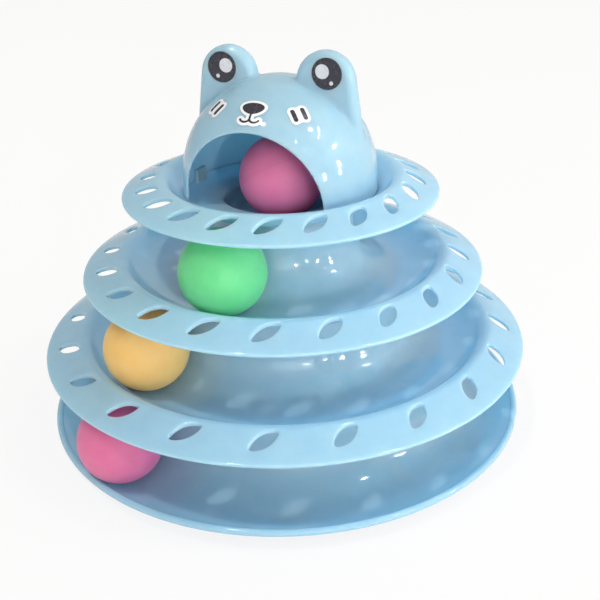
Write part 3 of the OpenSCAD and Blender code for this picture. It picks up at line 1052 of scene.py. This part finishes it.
def add_ramp(tree, first, second, start, end):
    """A drift from one linear colour to another, between two places."""
    node = add_node(tree, "ValToRGB")
    for element, colour, place in zip(node.color_ramp.elements, (first, second), (start, end)):
        element.position = place
        element.color = (*colour, 1)
    return node


def add_range(tree, source, target):
    """A value that goes over from one span to another."""
    spans = dict(zip(("From_Min", "From_Max", "To_Min", "To_Max"), (*source, *target)))
    return add_node(tree, "MapRange", **spans)


def add_mix(tree, factor, first, second):
    """Two shaders that are mixed by a factor."""
    node = add_node(tree, "MixShader")
    tree.links.new(factor, node.inputs["Fac"])
    tree.links.new(first, node.inputs[1])
    tree.links.new(second, node.inputs[2])
    return node.outputs["Shader"]


class Surface:
    """A node material with one Principled shader."""

    def __init__(self, name):
        self.material = bpy.data.materials.new(name)
        self.material.use_nodes = True
        self.tree = self.material.node_tree
        self.shader = self.tree.nodes["Principled BSDF"]
        self.place = add_node(self.tree, "TexCoord").outputs["Object"]

    def noise(self, size_mm, detail):
        """A noise whose patches are about that size."""
        node = add_node(self.tree, "TexNoise", Scale=1 / (size_mm * MM), Detail=detail)
        self.tree.links.new(self.place, node.inputs["Vector"])
        return node.outputs["Fac"]

    def colour(self, name, size_mm):
        """A finish's two colours, which drift into each other."""
        first, second = COLOURS[name]
        ramp = add_ramp(self.tree, linear(first), linear(second), *NOISE_SPAN)
        self.tree.links.new(self.noise(size_mm, FINISH_DETAIL), ramp.inputs["Fac"])
        self.tree.links.new(ramp.outputs["Color"], self.shader.inputs["Base Color"])
        return self

    def roughness(self, low, high, size_mm):
        """A roughness that drifts between two values."""
        scale = add_range(self.tree, NOISE_SPAN, (low, high))
        self.tree.links.new(self.noise(size_mm, FINISH_DETAIL), scale.inputs["Value"])
        self.tree.links.new(scale.outputs["Result"], self.shader.inputs["Roughness"])
        return self

    def bump(self, size_mm, height_mm, strength):
        """An uneven surface, added to the unevenness that is there."""
        node = add_node(self.tree, "Bump", Strength=strength, Distance=height_mm * MM)
        self.tree.links.new(self.noise(size_mm, BUMP_DETAIL), node.inputs["Height"])
        previous = self.shader.inputs["Normal"].links
        if previous:
            self.tree.links.new(previous[0].from_socket, node.inputs["Normal"])
        self.tree.links.new(node.outputs["Normal"], self.shader.inputs["Normal"])
        return self


def make_materials():
    """The materials by the name of their colours."""
    tower = Surface("tower_plastic").colour("tower", 9).roughness(0.05, 0.09, 6)
    tower.bump(14, 0.05, 0.5).bump(0.6, 0.004, 0.5)
    set_inputs(tower.shader, IOR=1.58, Subsurface_Weight=0.8)
    set_inputs(tower.shader, Subsurface_Radius=(0.6, 0.9, 1.1), Subsurface_Scale=0.009)
    surfaces = {"tower": tower}
    for name in ("pink", "orange", "green"):
        ball = Surface("ball_" + name).colour(name, 7).roughness(0.42, 0.55, 4).bump(0.5, 0.01, 0.5)
        set_inputs(ball.shader, Subsurface_Weight=1.0, Subsurface_Radius=(1, 1, 1), Subsurface_Scale=0.025)
        surfaces[name] = ball
    surfaces["ink"] = Surface("sticker_ink").colour("ink", 1.2).roughness(0.22, 0.3, 2).bump(2.5, 0.01, 0.4)
    for name in ("paper", "glint"):
        surfaces[name] = Surface("sticker_" + name).colour(name, 1.5).roughness(0.25, 0.35, 2)
    rubber = Surface("pad_rubber").colour("rubber", 3).roughness(0.55, 0.7, 2)
    surfaces["rubber"] = rubber.bump(0.4, 0.01, 0.6)
    return {name: surface.material for name, surface in surfaces.items()}


# Stage, light and camera


def make_floor():
    """A floor that is nearly white to the camera, with the soft shadow of the object left in it."""
    data = bpy.data.meshes.new("floor")
    half = FLOOR_HALF * MM
    corners = [(-half, -half, 0), (half, -half, 0), (half, half, 0), (-half, half, 0)]
    data.from_pydata(corners, [], [(0, 1, 2, 3)])
    floor = bpy.data.objects.new("floor", data)
    bpy.context.scene.collection.objects.link(floor)
    material = bpy.data.materials.new("floor")
    material.use_nodes = True
    tree = material.node_tree
    shader = tree.nodes["Principled BSDF"]
    set_inputs(shader, Base_Color=(*FLOOR_COLOUR, 1), Roughness=FLOOR_ROUGHNESS)
    glow = add_node(tree, "Emission", Color=(1, 1, 1, 1))
    share = add_node(tree, "Math")
    share.operation = "MULTIPLY"
    share.inputs[1].default_value = FLOOR_WHITE
    tree.links.new(add_node(tree, "LightPath").outputs["Is Camera Ray"], share.inputs[0])
    mix = add_mix(tree, share.outputs["Value"], shader.outputs["BSDF"], glow.outputs["Emission"])
    tree.links.new(mix, tree.nodes["Material Output"].inputs["Surface"])
    data.materials.append(material)


def make_world():
    """Light from all round, stronger from the right and warmer from above, with a white background."""
    world = bpy.data.worlds.new("studio")
    bpy.context.scene.world = world
    world.use_nodes = True
    tree = world.node_tree
    back = tree.nodes["Background"]
    place = add_node(tree, "TexCoord")
    split = add_node(tree, "SeparateXYZ")
    tint = add_ramp(tree, WORLD_COOL, WORLD_WARM, *WORLD_TINT_SPAN)
    height = add_range(tree, WORLD_LIGHT_SPAN, (WORLD_LOW, WORLD_HIGH))
    height.interpolation_type = "SMOOTHSTEP"
    side = add_range(tree, (-1, 1), (WORLD_LEFT, WORLD_RIGHT))
    both = add_node(tree, "Math")
    both.operation = "MULTIPLY"
    tree.links.new(place.outputs["Generated"], split.inputs["Vector"])
    tree.links.new(split.outputs["Z"], tint.inputs["Fac"])
    tree.links.new(split.outputs["Z"], height.inputs["Value"])
    tree.links.new(split.outputs["X"], side.inputs["Value"])
    tree.links.new(height.outputs["Result"], both.inputs[0])
    tree.links.new(side.outputs["Result"], both.inputs[1])
    tree.links.new(tint.outputs["Color"], back.inputs["Color"])
    tree.links.new(both.outputs["Value"], back.inputs["Strength"])
    white = add_node(tree, "Background", Color=(1, 1, 1, 1))
    camera = add_node(tree, "LightPath").outputs["Is Camera Ray"]
    mix = add_mix(tree, camera, back.outputs["Background"], white.outputs["Background"])
    tree.links.new(mix, tree.nodes["World Output"].inputs["Surface"])


def direction(bearing, elevation):
    """The unit vector towards a bearing and an elevation."""
    return Vector((cos(bearing) * cos(elevation), sin(bearing) * cos(elevation), sin(elevation)))


def add_lamp(data, towards, place=(0, 0, 0)):
    """A lamp at a place in metres, which shines back along the direction towards it."""
    lamp = bpy.data.objects.new(data.name, data)
    bpy.context.scene.collection.objects.link(lamp)
    lamp.location = place
    lamp.rotation_mode = "QUATERNION"
    lamp.rotation_quaternion = towards.to_track_quat("Z", "Y")


def make_sun(name, towards, strength, angle):
    """A far lamp, with its breadth as an angle."""
    data = bpy.data.lights.new(name, "SUN")
    data.energy = strength
    data.angle = math.radians(angle)
    data.color = WORLD_WARM
    add_lamp(data, Vector(towards))


def make_pane(name, bearing, elevation, width, height, radiance):
    """A bright rectangle in a direction, with its width and height as angles."""
    data = bpy.data.lights.new(name, "AREA")
    data.shape = "RECTANGLE"
    data.size = 2 * LAMP_DISTANCE * MM * tan(width / 2)
    data.size_y = 2 * LAMP_DISTANCE * MM * tan(height / 2)
    data.energy = radiance * math.pi * data.size * data.size_y
    towards = direction(bearing, elevation)
    add_lamp(data, towards, towards * LAMP_DISTANCE * MM + Vector((0, 0, PANE_RISE * MM)))


def make_spot(name, bearing, elevation, target, angle, power):
    """A lamp with a narrow soft beam on one thing."""
    data = bpy.data.lights.new(name, "SPOT")
    data.energy = power
    data.spot_size = math.radians(angle)
    data.spot_blend = 1.0
    data.shadow_soft_size = SPOT_R * MM
    towards = direction(bearing, elevation)
    add_lamp(data, towards, Vector(target) * MM + towards * LAMP_DISTANCE * MM)


def turned(first, second, degrees):
    """Two axes at right angles, turned in their plane: the first goes towards the second."""
    return cos(degrees) * first + sin(degrees) * second, cos(degrees) * second - sin(degrees) * first


def make_camera():
    """The photograph's view. The order of the three small turns matters."""
    back = Vector((0, -cos(CAMERA_ELEVATION), sin(CAMERA_ELEVATION)))
    ahead, right = -back, Vector((1, 0, 0))
    up = right.cross(ahead)
    ahead, right = turned(ahead, right, CAMERA_YAW)
    ahead, up = turned(ahead, up, CAMERA_PITCH)
    right, up = turned(right, up, CAMERA_ROLL)
    data = bpy.data.cameras.new("camera")
    data.lens = CAMERA_LENS
    data.sensor_width = CAMERA_SENSOR
    data.clip_start, data.clip_end = CAMERA_CLIP
    camera = bpy.data.objects.new("camera", data)
    bpy.context.scene.collection.objects.link(camera)
    turn = Matrix((right, up, -ahead)).transposed().to_4x4()
    middle = Vector((0, 0, LEVELS[0].edge_z))
    camera.matrix_world = Matrix.Translation((middle + back * CAMERA_DISTANCE) * MM) @ turn
    bpy.context.scene.camera = camera


def make_object():
    """All the pieces, each on its body."""
    materials = make_materials()
    tower = materials["tower"]
    for i, name in enumerate(("base_dish", "lower_tier", "middle_tier", "upper_tier")):
        build, details = tier_builds(i) if i else dish_builds()
        shown(name, build.mesh(name), "tower", tower, "tower_plastic", name)
        shown(name + "_details", details.mesh(name + "_details"), "tower", tower, "tower_plastic")
    shown("cat_head", head_mesh(), "tower", tower, "tower_plastic", "cat_head")
    eye_sticker("eye_sticker_left", -1, materials)
    eye_sticker("eye_sticker_right", 1, materials)
    nose_low = (-NOSE_H / 2, -NOSE_W / 2 - FIGURE_MARGIN)
    nose_high = (CURL_DROP + CURL_R + MOUTH_W, NOSE_W / 2 + FIGURE_MARGIN)
    dome_sticker("nose_sticker", nose_outline, nose_low, nose_high, on_dome(0, NOSE_ELEVATION), materials)
    cheek_high = np.array([BAR_L, BAR_PITCH + BAR_W]) / 2 + FIGURE_MARGIN
    for side, name in ((-1, "cheek_sticker_left"), (1, "cheek_sticker_right")):
        lay = on_dome(side * CHEEK_TURN, CHEEK_ELEVATION)
        dome_sticker(name, cheek_outline(side), -cheek_high, cheek_high, lay, materials)
    for name, (colour, tilt) in zip(BALLS, BALL_LOOKS):
        shown(name, ball_mesh(name, tilt), name, materials[colour], "ball_" + colour, name)
    for pad in PADS:
        shown(pad, pad_mesh(pad), "tower", materials["rubber"], "pad_rubber", pad)


make_object()
make_floor()
make_world()
make_sun("key", KEY_TOWARDS, KEY_STRENGTH, KEY_ANGLE)
for name, fill in FILLS.items():
    make_pane(name, *fill)
make_spot("door", DOOR_BEARING, DOOR_ELEVATION, node_middle("ball_top"), DOOR_BEAM, DOOR_POWER)
for k, pane in enumerate(PANES):
    make_pane(f"pane_{k + 1}", *pane)
make_camera()
bpy.context.scene.view_settings.view_transform = "Standard"
